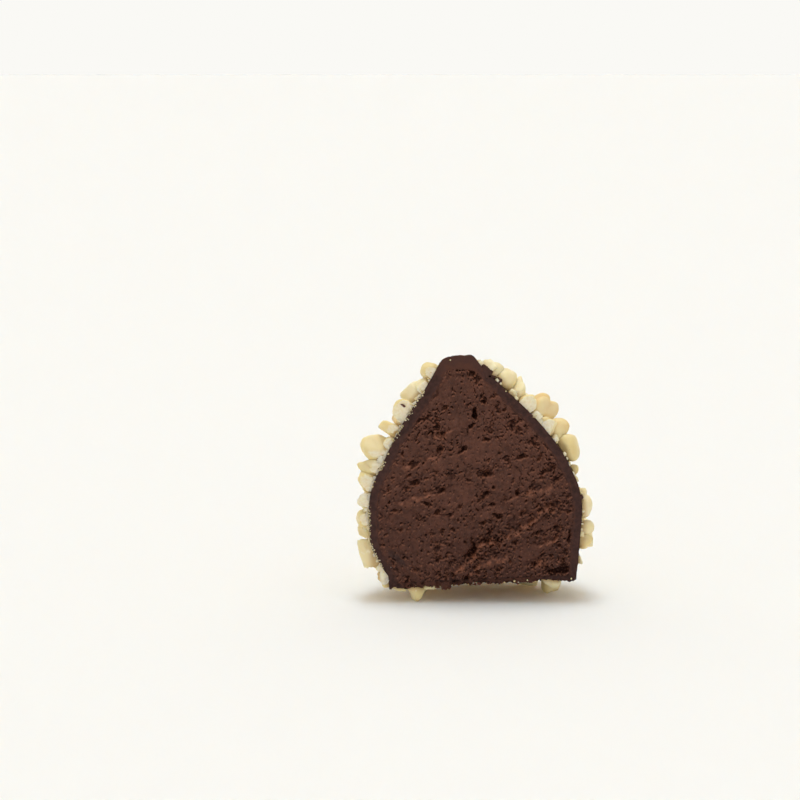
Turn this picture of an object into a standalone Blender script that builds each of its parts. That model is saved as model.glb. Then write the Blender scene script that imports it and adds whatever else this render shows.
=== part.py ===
"""Half of a nut-coated chocolate truffle, standing on the nuts under its base.

The whole truffle is modelled round its own axis: a soft ganache centre, a dipped
dark-chocolate shell and a coat of chopped nuts pressed into it. One knife plane then
halves all three, so each layer shows on the flat cut face, which looks along -Y.
Metres, +Z up. The origin is the middle of the part's base on the surface it stands on.
"""

import math
import random
from collections import namedtuple

import bmesh
import bpy
from mathutils import Matrix, Vector

MM = 0.001

# Chocolate body, measured over the dark shell
BODY_HEIGHT = 31.75 * MM
BELLY_RADIUS = 14.4 * MM
BASE_LIFT = 2.1 * MM  # the nuts underneath hold the shell this far off the surface

# The side of the drop from base corner to peak, as shares of the belly radius and body height
SIDE = (
    (0.945, 0.000),
    (0.963, 0.090),
    (0.984, 0.220),
    (0.996, 0.330),
    (0.966, 0.430),
    (0.884, 0.518),
    (0.757, 0.628),
    (0.579, 0.744),
    (0.399, 0.839),
    (0.232, 0.933),
    (0.145, 0.988),
    (0.000, 1.000),
)
SPAN_POINTS = 2  # points on each span of the smooth curve through SIDE
TURN_STEPS = 24

# How the hand-made drop differs from a turned one
TIP_LEAN = 2.6 * MM  # the peak leans towards -X
LEAN_FROM = 0.54  # share of the height where the lean starts
FOOT_SHIFT = 2.1 * MM  # the foot's -X side is drawn in by up to this
FOOT_TO = (0.05, 0.20)  # shares of the height where it is drawn in fully and no longer
BASE_RISE = 1.3 * MM  # the base is this much higher at +X than at -X
UNEVEN = 0.025  # share of the radius that the flanks swell and shrink by

# Wall of the shell: at the belly, under the base and over the tip
SHELL_SIDE, SHELL_BASE, SHELL_TIP = 1.1 * MM, 0.6 * MM, 1.9 * MM
GAP = 0.3 * MM  # between one layer and the next

# Nut coat: a bed of crumbs and nut pieces standing out of it. The peak is left bare.
BED = 0.55 * MM
BED_TOP = 0.93  # share of the body height where the bed ends
BED_SETBACK = 0.9 * MM  # the bed stops this far behind the knife's plane
NUTS_TO = 0.88  # share of the body height up to which pieces are scattered
NUT_SINK = 0.35 * MM  # how far a piece is pressed into the chocolate
NUT_CUTS = 6  # flat chopped faces on a piece
NUT_SEED = 5
MOST_TRIES = 2500
FLAT_WITHIN = math.radians(20)  # faces this near to one plane become one face

Nut = namedtuple("Nut", "place outward size turn cuts")

# Pieces along the rim of the cut: angle round the axis from +X in degrees, height above
# the base, and size along the flank, across it and outwards, in millimetres
RIM_NUTS = (
    (20, 28.7, 2.4, 2.3, 2.6),
    (19, 27.5, 3.1, 3.0, 3.1),
    (17, 25.9, 2.6, 3.2, 3.2),
    (5, 24.7, 2.4, 2.6, 2.4),
    (15, 23.0, 3.9, 3.8, 4.2),
    (3, 21.6, 2.2, 2.0, 2.2),
    (11, 20.6, 3.0, 2.8, 3.5),
    (10, 18.4, 4.4, 3.6, 3.2),
    (6, 10.6, 3.2, 2.4, 2.0),
    (7, 7.6, 2.0, 2.6, 2.4),
    (7, 5.6, 2.3, 2.6, 2.3),
    (160, 28.9, 2.6, 2.4, 2.5),
    (175, 23.7, 2.9, 2.8, 2.7),
    (170, 21.0, 2.3, 3.0, 3.0),
    (170, 18.3, 3.6, 4.0, 4.2),
    (172, 16.0, 2.6, 3.2, 3.4),
    (173, 14.2, 3.0, 3.0, 2.6),
    (178, 12.0, 1.9, 2.2, 2.0),
    (174, 9.4, 2.4, 2.4, 2.2),
    (171, 4.7, 4.2, 3.8, 3.0),
    (178, 1.8, 2.9, 2.0, 1.4),
)
# Pieces under the base: place across and behind the cut, and size across, along and down
BASE_NUTS = (
    (-9.7, 1.5, 2.7, 2.8, 2.9),
    (10.0, 1.9, 2.7, 2.4, 1.9),
    (10.4, 6.0, 3.2, 3.0, 3.8),
    (-5.0, 6.4, 3.4, 3.0, 2.5),
    (-9.2, 7.4, 3.2, 3.6, 2.8),
    (0.8, 5.0, 2.4, 3.0, 2.2),
    (5.8, 5.4, 3.2, 3.0, 2.4),
    (6.9, 9.4, 3.0, 3.2, 3.6),
    (-2.2, 10.6, 3.6, 3.0, 2.9),
    (3.4, 11.4, 3.2, 2.6, 3.3),
    (0.4, 8.4, 2.6, 2.2, 2.2),
)
# Spots where the chocolate is bare: angle, height above the base and radius
BARE_SPOTS = (
    (22, 13.6, 1.9),
    (10, 2.8, 1.6),
    (50, 8.0, 2.6),
    (72, 22.5, 2.3),
    (98, 12.5, 3.1),
    (120, 4.5, 2.4),
    (128, 20.5, 2.2),
    (152, 12.0, 2.2),
)
# Range of the sizes of the other pieces: along, across, outwards
NUT_LENGTH = (3.6 * MM, 6.0 * MM)
NUT_BREADTH = (0.60, 0.95)  # share of its length
NUT_HEIGHT = (2.3 * MM, 3.4 * MM)
NUT_SPACING = 0.86  # of the two pieces' reach: under 1, neighbours crowd each other


# ---------------------------------------------------------------- scene and materials


def clear_scene():
    for thing in list(bpy.data.objects):
        bpy.data.objects.remove(thing)


def new_collection(name):
    made = bpy.data.collections.new(name)
    bpy.context.scene.collection.children.link(made)
    return made


def plain_material(name, colour, roughness):
    material = bpy.data.materials.new(name)
    material.use_nodes = True
    shader = material.node_tree.nodes["Principled BSDF"]
    shader.inputs["Base Color"].default_value = (*colour, 1.0)
    shader.inputs["Roughness"].default_value = roughness
    shader.inputs["Metallic"].default_value = 0.0
    return material


def mesh_from(shape, name):
    """Turns a bmesh into a mesh and frees it."""
    mesh = bpy.data.meshes.new(name)
    shape.to_mesh(mesh)
    shape.free()
    return mesh


def add_object(name, mesh, collection, material=None):
    thing = bpy.data.objects.new(name, mesh)
    collection.objects.link(thing)
    if material:
        mesh.materials.append(material)
    return thing


# ---------------------------------------------------------------- the drop's shape


def smooth_through(points, per_span):
    """A Catmull-Rom curve through the points, with per_span points on each span."""
    padded = [points[0], *points, points[-1]]
    curve = []
    for a, b, c, d in zip(padded, padded[1:], padded[2:], padded[3:]):
        for step in range(per_span):
            t = step / per_span
            curve.append(
                tuple(
                    b[i]
                    + t * (c[i] - a[i]) / 2
                    + t**2 * (a[i] - 2.5 * b[i] + 2 * c[i] - d[i] / 2)
                    + t**3 * (1.5 * (b[i] - c[i]) + (d[i] - a[i]) / 2)
                    for i in range(2)
                )
            )
    return [*curve, points[-1]]


def drop_profile(side=0.0, base=0.0, tip=0.0, top=1.0):
    """(radius, height) points from the base corner to the peak, with the wall taken in by
    side at the belly, by base underneath and by tip at the peak. Negative values grow it.
    With top below 1 it stops at that share of the height."""
    inner_height = BODY_HEIGHT - base - tip
    return [
        ((BELLY_RADIUS - side) * radius, base + inner_height * height)
        for radius, height in smooth_through(SIDE, SPAN_POINTS)
        if height <= top
    ]


def settle(point):
    """Moves a point of the turned drop to where the hand-made one has it."""
    x, y, z = point
    up = z / BODY_HEIGHT
    angle = math.atan2(y, x)
    swell = 1 + UNEVEN * math.sin(2 * angle) * math.cos(5 * up)
    lean = -TIP_LEAN * max(0.0, (up - LEAN_FROM) / (1 - LEAN_FROM)) ** 1.5
    side = 0.5 + x / (2 * BELLY_RADIUS)
    low, high = FOOT_TO
    drawn = min(1.0, max(0.0, (high - up) / (high - low)))
    foot = FOOT_SHIFT * (1 - side) * drawn**1.5
    rise = BASE_RISE * side * max(0.0, 1 - up) ** 4
    return Vector((x * swell + lean + foot, y * swell, z + rise + BASE_LIFT))


def turned(name, profile, collection, material=None):
    """A solid turned from the profile by a Screw modifier, then settled."""
    mesh = bpy.data.meshes.new(name)
    points = [(radius, 0.0, height) for radius, height in profile]
    mesh.from_pydata(points, [(i, i + 1) for i in range(len(points) - 1)], [])
    lathe = add_object(name + "_profile", mesh, collection)
    screw = lathe.modifiers.new("turn", "SCREW")
    screw.steps = screw.render_steps = TURN_STEPS
    screw.use_merge_vertices = True
    screw.merge_threshold = 0.01 * MM
    graph = bpy.context.evaluated_depsgraph_get()
    turned_mesh = bpy.data.meshes.new_from_object(lathe.evaluated_get(graph))
    bpy.data.objects.remove(lathe)
    shape = bmesh.new()
    shape.from_mesh(turned_mesh)
    for vertex in shape.verts:
        vertex.co = settle(vertex.co)
    bmesh.ops.triangulate(shape, faces=shape.faces)
    solid = mesh_from(shape, name)
    solid.shade_smooth()
    solid.set_sharp_from_angle(angle=math.radians(40))
    return add_object(name, solid, collection, material)


def drop(name, walls, collection, material=None, top=1.0):
    """A closed drop, taken in by the walls. With top below 1 it ends in a flat there."""
    flank = drop_profile(*walls, top)
    lid = [(0.0, flank[-1][1])] if top < 1 else []
    downwards = [*lid, *reversed(flank), (0.0, flank[0][1])]
    return turned(name, downwards, collection, material)


# ---------------------------------------------------------------- chopped nuts


def side_place(angle, height):
    """Where a nut on the flank meets the shell, and the outward direction there."""
    profile = drop_profile()
    for (r0, z0), (r1, z1) in zip(profile, profile[1:]):
        if z1 >= height or (r1, z1) == profile[-1]:
            break
    share = (height - z0) / (z1 - z0)
    radius = r0 + share * (r1 - r0)
    around = Vector((math.cos(angle), math.sin(angle), 0))
    outward = (around * (z1 - z0) + Vector((0, 0, r0 - r1))).normalized()
    return settle(around * radius + Vector((0, 0, height))), outward


def random_cuts(rng):
    """Chopped faces as (direction, distance from the middle) on a unit ball."""
    cuts = []
    for _ in range(NUT_CUTS):
        rise = rng.uniform(-0.9, 0.95)
        angle = rng.uniform(0, math.tau)
        flat = math.sqrt(1 - rise**2)
        direction = Vector((flat * math.cos(angle), flat * math.sin(angle), rise))
        cuts.append((direction, rng.uniform(0.45, 0.8)))
    return cuts


def make_nut(rng, place, outward, size, turn):
    return Nut(place, outward, Vector(size), turn, random_cuts(rng))


def reach(nut):
    return (nut.size.x + nut.size.y) / 4


def has_room(nut, nuts, bare):
    """Whether a piece keeps its distance from the pieces so far and off the bare spots."""
    crowded = any(
        (nut.place - other.place).length < NUT_SPACING * (reach(nut) + reach(other))
        for other in nuts
    )
    return not crowded and all(
        (nut.place - middle).length > NUT_SPACING * reach(nut) + radius
        for middle, radius in bare
    )


def bare_spots():
    """(middle, radius) of the spots where no nuts stick."""
    return [
        (side_place(math.radians(angle), height * MM)[0], radius * MM)
        for angle, height, radius in BARE_SPOTS
    ]


def nut_pieces():
    """Every piece of the coat: the rim, the base, then the back filled in at random."""
    rng = random.Random(NUT_SEED)
    bare = bare_spots()
    nuts = []
    for angle, height, *size in RIM_NUTS:
        place, outward = side_place(math.radians(angle), height * MM)
        nuts.append(make_nut(rng, place, outward, [MM * s for s in size], 0.0))
    for x, y, *size in BASE_NUTS:
        place = settle((x * MM, y * MM, 0))
        nuts.append(make_nut(rng, place, Vector((0, 0, -1)), [MM * s for s in size], 0.0))
    for _ in range(MOST_TRIES):
        angle = rng.uniform(0.16, math.pi - 0.16)
        height = rng.uniform(0.02, NUTS_TO) * BODY_HEIGHT
        place, outward = side_place(angle, height)
        length = rng.uniform(*NUT_LENGTH)
        breadth = length * rng.uniform(*NUT_BREADTH)
        size = (length, breadth, rng.uniform(*NUT_HEIGHT))
        nut = make_nut(rng, place, outward, size, rng.uniform(0, math.tau))
        if has_room(nut, nuts, bare):
            nuts.append(nut)
    return nuts


def nut_frame(nut):
    """Turns and places a piece: X along the flank, Z outwards, sunk into the chocolate."""
    across = nut.outward.cross(Vector((0, 0, 1)))
    if across.length < 0.1:
        across = Vector((0, 1, 0))
    across.normalize()
    along = across.cross(nut.outward)
    axes = Matrix((along, across, nut.outward)).transposed().to_4x4()
    middle = nut.place + nut.outward * (nut.size.z / 2 - NUT_SINK)
    return Matrix.Translation(middle) @ axes @ Matrix.Rotation(nut.turn, 4, "Z")


def add_ball(target, radius, subdivisions=2):
    return bmesh.ops.create_icosphere(target, subdivisions=subdivisions, radius=radius)["verts"]


def add_nut(target, nut):
    """A ball pressed flat on its chopped faces, stretched to size and put in its place."""
    made = add_ball(target, radius=1.0)
    for vertex in made:
        for direction, distance in nut.cuts:
            beyond = vertex.co.dot(direction) - distance
            if beyond > 0:
                vertex.co -= direction * beyond
    low = Vector(min(vertex.co[axis] for vertex in made) for axis in range(3))
    high = Vector(max(vertex.co[axis] for vertex in made) for axis in range(3))
    bmesh.ops.translate(target, vec=-(low + high) / 2, verts=made)
    stretch = [size / (top - bottom) for size, top, bottom in zip(nut.size, high, low)]
    bmesh.ops.scale(target, vec=stretch, verts=made)
    bmesh.ops.transform(target, matrix=nut_frame(nut), verts=made)


def nut_mesh(nuts):
    pieces = bmesh.new()
    for nut in nuts:
        add_nut(pieces, nut)
    pieces.normal_update()
    bmesh.ops.dissolve_limit(
        pieces, angle_limit=FLAT_WITHIN, verts=pieces.verts, edges=pieces.edges
    )
    bmesh.ops.triangulate(pieces, faces=pieces.faces)
    return mesh_from(pieces, "nut_pieces")


def spots_mesh():
    """Balls that take the bed away over the bare spots."""
    balls = bmesh.new()
    for middle, radius in bare_spots():
        made = add_ball(balls, radius, subdivisions=1)
        bmesh.ops.translate(balls, vec=middle, verts=made)
    return mesh_from(balls, "bare_spots")


# ---------------------------------------------------------------- cutting and joining


def block(name, low, high, collection):
    """A box-shaped cutter between two corners."""
    shape = bmesh.new()
    bmesh.ops.create_cube(shape, size=1.0)
    low, high = Vector(low), Vector(high)
    bmesh.ops.scale(shape, vec=high - low, verts=shape.verts)
    bmesh.ops.translate(shape, vec=(low + high) / 2, verts=shape.verts)
    return add_object(name, mesh_from(shape, name), collection)


def combine(thing, other, operation, self_crossing=False):
    boolean = thing.modifiers.new(f"{operation.lower()} {other.name}", "BOOLEAN")
    boolean.operation = operation
    boolean.object = other
    boolean.solver = "EXACT"
    boolean.use_self = self_crossing


def hide_helpers(collection):
    for helper in collection.objects:
        helper.hide_render = True
        helper.display_type = "WIRE"


def stand_on_origin(parts, parent):
    """Moves the whole part so that the middle of its box's underside is the origin."""
    bpy.context.view_layer.update()
    graph = bpy.context.evaluated_depsgraph_get()
    corners = [
        part.matrix_world @ Vector(corner)
        for part in parts
        for corner in part.evaluated_get(graph).bound_box
    ]
    low = Vector(map(min, zip(*corners)))
    high = Vector(map(max, zip(*corners)))
    parent.location = (-(low.x + high.x) / 2, -(low.y + high.y) / 2, -low.z)


# ---------------------------------------------------------------- the truffle


def build_truffle():
    clear_scene()
    body = new_collection("truffle_half")
    cutters = new_collection("cutters")
    room = 2 * BODY_HEIGHT

    filling = plain_material("ganache", (0.080, 0.034, 0.022), 0.6)
    dark = plain_material("dark_chocolate", (0.026, 0.013, 0.010), 0.35)
    nutty = plain_material("chopped_nuts", (0.74, 0.58, 0.33), 0.5)

    walls = (SHELL_SIDE, SHELL_BASE, SHELL_TIP)
    ganache = drop("ganache", [wall + GAP for wall in walls], body, filling)
    chocolate = drop("chocolate_shell", (0.0, 0.0, 0.0), body, dark)
    coat = drop("nut_coat", (-GAP - BED,) * 3, body, nutty, top=BED_TOP)

    hollow = drop("ganache_room", walls, cutters)
    clearance = drop("shell_room", (-GAP,) * 3, cutters)
    pieces = add_object("nut_pieces", nut_mesh(nut_pieces()), cutters)
    knife = block("knife", (-room, -room, -room), (room, 0, room), cutters)
    setback = block("setback", (-room, -room, -room), (room, BED_SETBACK, room), cutters)
    floor = block("floor", (-room, -room, -room), (room, room, 0), cutters)
    spots = add_object("bare_spots", spots_mesh(), cutters)

    combine(chocolate, hollow, "DIFFERENCE")
    combine(coat, setback, "DIFFERENCE")
    combine(coat, spots, "DIFFERENCE")
    combine(coat, pieces, "UNION", self_crossing=True)
    combine(coat, clearance, "DIFFERENCE")
    combine(coat, floor, "DIFFERENCE")
    for layer in (ganache, chocolate, coat):
        combine(layer, knife, "DIFFERENCE")
    hide_helpers(cutters)

    truffle = bpy.data.objects.new("truffle", None)
    body.objects.link(truffle)
    for thing in (ganache, chocolate, coat, *cutters.objects):
        thing.parent = truffle
    stand_on_origin((ganache, chocolate, coat), truffle)


build_truffle()
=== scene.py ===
"""Looks of the halved truffle: soft ganache, a dipped dark chocolate shell, a coat of chopped nuts.

Each layer is shaped in the drop's own space, where the axis is upright through the origin,
the knife's plane is y = 0 and the base is z = 0. in_frame() moves it to where the frame has it.
Metres, +Z up, and the cut face looks along -Y.
"""

import math
import random
from collections import namedtuple

import bmesh
import bpy
import numpy as np
from mathutils import Matrix, Vector, kdtree, noise


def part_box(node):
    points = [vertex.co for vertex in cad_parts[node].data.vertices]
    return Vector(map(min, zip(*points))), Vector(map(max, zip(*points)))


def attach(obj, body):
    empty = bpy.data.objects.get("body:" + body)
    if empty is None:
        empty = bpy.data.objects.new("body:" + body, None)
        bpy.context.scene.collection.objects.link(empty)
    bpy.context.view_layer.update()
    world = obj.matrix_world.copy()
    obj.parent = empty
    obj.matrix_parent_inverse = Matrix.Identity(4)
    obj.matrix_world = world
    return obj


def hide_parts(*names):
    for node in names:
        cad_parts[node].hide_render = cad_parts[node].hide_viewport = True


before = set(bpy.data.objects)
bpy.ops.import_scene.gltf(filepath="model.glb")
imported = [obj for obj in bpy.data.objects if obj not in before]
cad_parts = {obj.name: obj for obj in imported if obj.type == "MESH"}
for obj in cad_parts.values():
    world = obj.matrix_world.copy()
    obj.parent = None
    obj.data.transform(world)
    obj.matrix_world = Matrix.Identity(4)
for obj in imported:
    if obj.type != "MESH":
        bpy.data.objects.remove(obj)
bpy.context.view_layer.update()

MM = 0.001

# ---------- the drop, as the frame has it ----------

BODY_HEIGHT = 31.75 * MM
BELLY_RADIUS = 14.4 * MM
BASE_LIFT = 2.1 * MM

# The side of the drop from base corner to peak, as shares of the belly radius and body height
SIDE = (
    (0.945, 0.000), (0.963, 0.090), (0.984, 0.220), (0.996, 0.330), (0.966, 0.430),
    (0.884, 0.518), (0.757, 0.628), (0.579, 0.744), (0.399, 0.839), (0.232, 0.933),
    (0.145, 0.988), (0.000, 1.000),
)
SPAN_POINTS = 24  # worked out on each span between those
FINE_STEPS = 400  # along the side, where distances are measured from it

# Heights here are shares of the body's height
TIP_LEAN = 2.6 * MM
LEAN_FROM = 0.54
FOOT_SHIFT = 2.1 * MM
FOOT_TO = (0.05, 0.20)
BASE_RISE = 1.3 * MM  # of the base at its right end
UNEVEN = 0.025  # how far the drop is from round
UNEVEN_WAVE = 5  # how fast that changes with height

# Wall of the shell: at the belly, under the base and over the tip
WALLS = (1.15 * MM, 0.6 * MM, 1.9 * MM)
NO_WALLS = (0.0, 0.0, 0.0)
JOIN = 0.05 * MM  # the ganache reaches this far into the shell, so that no gap shows


def smoothstep(low, high, values):
    t = np.clip((values - low) / (high - low), 0, 1)
    return t * t * (3 - 2 * t)


def smooth_through(points, per_span):
    """A Catmull-Rom curve through the points, with per_span points on each span."""
    padded = np.array([points[0], *points, points[-1]])
    curve = []
    for a, b, c, d in zip(padded, padded[1:], padded[2:], padded[3:]):
        for t in np.arange(per_span) / per_span:
            bend = t**2 * (a - 2.5 * b + 2 * c - d / 2) + t**3 * (1.5 * (b - c) + (d - a) / 2)
            curve.append(b + t * (c - a) / 2 + bend)
    return np.array([*curve, points[-1]])


def flank(walls, count):
    """count + 1 evenly spaced (radius, height) points from base corner to peak, as an array."""
    side, base, tip = walls
    shares = smooth_through(SIDE, SPAN_POINTS)
    radius = shares[:, 0] * (BELLY_RADIUS - side)
    height = base + shares[:, 1] * (BODY_HEIGHT - base - tip)
    length = np.concatenate([[0], np.cumsum(np.hypot(np.diff(radius), np.diff(height)))])
    even = np.linspace(0, length[-1], count + 1)
    return np.column_stack([np.interp(even, length, radius), np.interp(even, length, height)])


def section(walls, across, up):
    """The half outline of the drop: along the base from the axis to the corner, then up."""
    side = flank(walls, up)
    corner, height = side[0]
    base_line = [(radius, height) for radius in np.linspace(0, corner, across + 1)]
    return np.concatenate([base_line[:-1], side])


def settled(points):
    """Points of the turned drop, moved to where the hand-made, leaning one has them."""
    x, y, z = np.asarray(points, float).T
    up = z / BODY_HEIGHT
    swell = 1 + UNEVEN * np.sin(2 * np.arctan2(y, x)) * np.cos(UNEVEN_WAVE * up)
    lean = -TIP_LEAN * np.maximum(0, (up - LEAN_FROM) / (1 - LEAN_FROM)) ** 1.5
    side = 0.5 + x / (2 * BELLY_RADIUS)
    low, high = FOOT_TO
    foot = FOOT_SHIFT * (1 - side) * np.clip((high - up) / (high - low), 0, 1) ** 1.5
    rise = BASE_RISE * side * np.maximum(0, 1 - up) ** 4
    return np.column_stack([x * swell + lean + foot, y * swell, z + rise + BASE_LIFT])


def find_offset():
    """How far the frame holds the drop from the place that settled() alone gives."""
    low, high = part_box("chocolate_shell")
    outline = np.insert(flank(NO_WALLS, FINE_STEPS), 1, 0, axis=1)
    return np.array([high.x - settled(outline)[:, 0].max(), low.y, 0.0])


OFFSET = find_offset()


def in_frame(points):
    return settled(points) + OFFSET


# ---------- meshes and pieces ----------

SAME_PLACE = 0.002 * MM  # points this close are one
ON_KNIFE = 0.001 * MM  # and points this close to the knife's plane are on it
TINY = 1e-6  # keeps divisions and roots clear of 0


def mesh_from(shape, name):
    mesh = bpy.data.meshes.new(name)
    shape.to_mesh(mesh)
    shape.free()
    return mesh


def places(mesh):
    """The mesh's points as an array."""
    flat = np.empty(len(mesh.vertices) * 3)
    mesh.vertices.foreach_get("co", flat)
    return flat.reshape(-1, 3)


def on_knife(points):
    """Which points of a piece, in the drop's own space, are on its cut face."""
    return np.abs(points[:, 1]) < ON_KNIFE


def put(mesh, points):
    mesh.vertices.foreach_set("co", np.asarray(points, float).ravel())
    mesh.update()


def paint(mesh, name, values):
    """Stores one number for each point, for the materials to read."""
    attribute = mesh.attributes.new(name, "FLOAT", "POINT")
    attribute.data.foreach_set("value", np.asarray(values, np.float32))


def paint_where(mesh, name, where, values):
    """Stores the values on the chosen points, and 0 on the others."""
    numbers = np.zeros(len(where))
    numbers[where] = values
    paint(mesh, name, numbers)


def new_object(name, data):
    thing = bpy.data.objects.new(name, data)
    bpy.context.scene.collection.objects.link(thing)
    return thing


def add_piece(name, mesh, material, node):
    piece = new_object(name, mesh)
    mesh.materials.append(material)
    mesh.shade_smooth()
    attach(piece, "root")
    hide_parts(node)
    return piece


def lumps(points, size, octaves=1, seed=0.0):
    """Smooth noise at the points, about -1 to 1. size is the width of a lump."""
    shift = Vector((seed, 2.3 * seed, -1.7 * seed))
    if octaves == 1:
        return np.array([noise.noise(Vector(p) / size + shift) for p in points])
    return np.array([noise.fractal(Vector(p) / size + shift, 1.0, 2.0, octaves) for p in points])


def spin_half(shape, outline, steps):
    """Turns an outline in the XZ plane half round the upright axis, over +Y."""
    points = [shape.verts.new((radius, 0, height)) for radius, height in outline]
    edges = [shape.edges.new(pair) for pair in zip(points, points[1:])]
    turned = {"axis": (0, 0, 1), "cent": (0, 0, 0), "angle": math.pi, "steps": steps}
    bmesh.ops.spin(shape, geom=points + edges, use_merge=False, **turned)


def close(shape):
    bmesh.ops.remove_doubles(shape, verts=shape.verts, dist=SAME_PLACE)
    bmesh.ops.recalc_face_normals(shape, faces=shape.faces)


# ---------- ganache ----------

GANACHE_ACROSS = 122  # faces from the axis to the wall
GANACHE_UP = 262  # from the base to the peak
GANACHE_TURN = 30  # and round the back

SMEAR_TILT = math.radians(28)  # the knife dragged the crumb along this slope
SMEAR_STRETCH = 1.5
BEND = 0.25 * MM  # how far the edges of tears wander
PATCH_TILT = 0.35  # radians
LARGE_RARITY = 0.36  # of tears about a millimetre long
SMALL_RARITY = 0.34  # of pits between them

# How far each feature stands out of the cut or goes into it, in millimetres
PLATEAU_RISE = 0.12
CRACK_DEPTH = 0.1
LIP_RISE = 0.04
LEDGE_RISE = 0.7
HOLLOW_DEPTH = 1.3  # over a ledge
PROUD_UNDER = 0.3  # under it
LEDGE_HALF = 0.28  # half the width of a ledge's crest
HOLLOW_REACH = 0.9  # how far the hollow goes up from it
UNDER_REACH = 1.4  # and the proud part down
EDGE_SHARE = 0.2  # of the relief is left at the wall

# Smooth patches that the knife left: x, height, half length, half height, in millimetres
SMOOTH_PATCHES = (
    (-1.0, 27.0, 4.0, 2.4), (-1.8, 23.2, 3.0, 1.8), (0.6, 19.0, 3.4, 3.2),
    (-4.0, 17.2, 2.6, 1.2), (3.6, 15.0, 3.2, 2.2), (-2.4, 12.6, 3.6, 1.9),
    (-7.8, 12.0, 2.8, 1.1), (2.0, 10.2, 3.0, 1.2), (-10.0, 9.4, 2.6, 1.4),
    (-5.4, 8.8, 2.4, 1.3), (-8.6, 5.6, 2.2, 1.2), (6.0, 4.0, 4.8, 1.5),
    (1.6, 3.2, 2.2, 1.1), (-6.4, 2.6, 2.4, 0.8), (9.4, 8.4, 2.4, 0.9),
)
# Larger holes: x, height, length, width and depth in millimetres, tilt in degrees
HOLES = (
    (0.7, 23.9, 2.2, 0.55, 0.9, 80), (1.7, 20.3, 1.2, 0.6, 0.6, 12),
    (-1.6, 19.0, 2.0, 0.7, 0.5, 40), (1.4, 15.6, 2.6, 0.85, 0.6, 14),
    (2.4, 13.7, 0.65, 0.65, 0.6, 70), (5.6, 12.9, 1.0, 0.8, 0.6, 60),
    (1.4, 12.9, 1.1, 0.5, 0.45, 5), (6.3, 18.0, 2.0, 0.7, 0.5, 16),
    (-8.2, 14.4, 1.7, 0.8, 0.5, 16), (-4.6, 13.4, 1.6, 0.8, 0.5, 30),
    (-6.6, 11.6, 1.9, 0.45, 0.45, -14), (3.0, 9.8, 1.8, 0.7, 0.55, -24),
    (-1.0, 4.2, 1.6, 0.6, 0.5, 20), (11.3, 1.5, 4.4, 1.1, 2.4, 4),
    (12.7, 6.6, 2.8, 0.5, 0.7, 84),
)
# Torn ledges, most of them across the lower right: from and to in millimetres, and how strong
LEDGES = (
    ((-3.6, 1.8), (-1.2, 3.4), 0.34), ((-1.2, 3.4), (0.9, 5.6), 0.60),
    ((0.9, 5.6), (3.4, 6.1), 0.66), ((3.4, 6.1), (6.3, 7.7), 0.60),
    ((6.3, 7.7), (8.5, 9.6), 0.40), ((8.5, 9.6), (10.7, 11.0), 0.26),
    ((8.6, 5.4), (11.6, 6.6), 0.36), ((-1.6, 1.7), (3.6, 3.8), 0.30),
    ((4.6, 12.0), (10.4, 13.4), 0.20), ((6.6, 2.2), (11.6, 3.0), 0.20),
    ((-10.6, 11.6), (-5.8, 12.6), 0.16), ((-6.8, 20.0), (-2.6, 21.4), 0.18),
    ((-9.2, 16.4), (-4.8, 18.0), 0.16),
)


def along_smear(points):
    """The points with the smear's direction shrunk, so that noise read there is drawn out."""
    x, y, z = points.T
    along = x * math.cos(SMEAR_TILT) + z * math.sin(SMEAR_TILT)
    up = -x * math.sin(SMEAR_TILT) + z * math.cos(SMEAR_TILT)
    return np.column_stack([along / SMEAR_STRETCH, y, up])


def in_ellipse(points, x, z, length, height, tilt=0.0):
    """1 in the middle of a tilted ellipse, 0 at its edge and beyond. Millimetres."""
    dx, dz = points[:, 0] / MM - x, points[:, 2] / MM - z
    along = dx * math.cos(tilt) + dz * math.sin(tilt)
    across = -dx * math.sin(tilt) + dz * math.cos(tilt)
    return np.maximum(0, 1 - np.hypot(along / length, across / height))


def below_line(points, start, end):
    """(millimetres below the line from start to end, 1 along it and fading off past its ends)."""
    spot = points[:, [0, 2]] / MM - np.array(start)
    run = np.array(end) - np.array(start)
    length = np.linalg.norm(run)
    along = spot @ run / length
    below = (spot[:, 0] * run[1] - spot[:, 1] * run[0]) / length
    return below, smoothstep(-0.9, 0.3, along) * (1 - smoothstep(length - 0.3, length + 0.9, along))


def tears(points):
    """(inside, calm, low_right): how far each point of the cut is inside a torn patch, under 0
    on the smooth plateaus, and how much it is in a smooth patch or in the rough lower right."""
    sideways = lumps(points, 0.8 * MM, 2, seed=3.1)
    upwards = lumps(points, 0.8 * MM, 2, seed=8.7)
    bent = points + BEND * np.column_stack([sideways, np.zeros(len(points)), upwards])
    drawn = along_smear(bent)
    calm = sum(in_ellipse(points, *patch, tilt=PATCH_TILT) for patch in SMOOTH_PATCHES)
    calm = smoothstep(0.0, 0.45, calm)
    low_right = smoothstep(-6.0, 8.0, points[:, 0] / MM + 9 - points[:, 2] / MM)
    patchy = 0.26 * lumps(drawn, 2.6 * MM, 2, seed=16.0)
    large = lumps(drawn, 0.9 * MM, 4, seed=5.5) - LARGE_RARITY
    large += patchy - 0.34 * calm + 0.04 * low_right
    small = lumps(0.5 * (drawn + bent), 0.3 * MM, 3, seed=2.2) - SMALL_RARITY
    small += patchy - 0.2 * calm + 0.09 * low_right
    inside = np.maximum(large, 0.7 * small)
    for x, z, length, width, depth, tilt in HOLES:
        hole = in_ellipse(bent, x, z, length / 2, width / 2, math.radians(tilt))
        inside = np.maximum(inside, (hole - 0.05) * (0.3 + depth))
    return inside, calm, low_right


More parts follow.
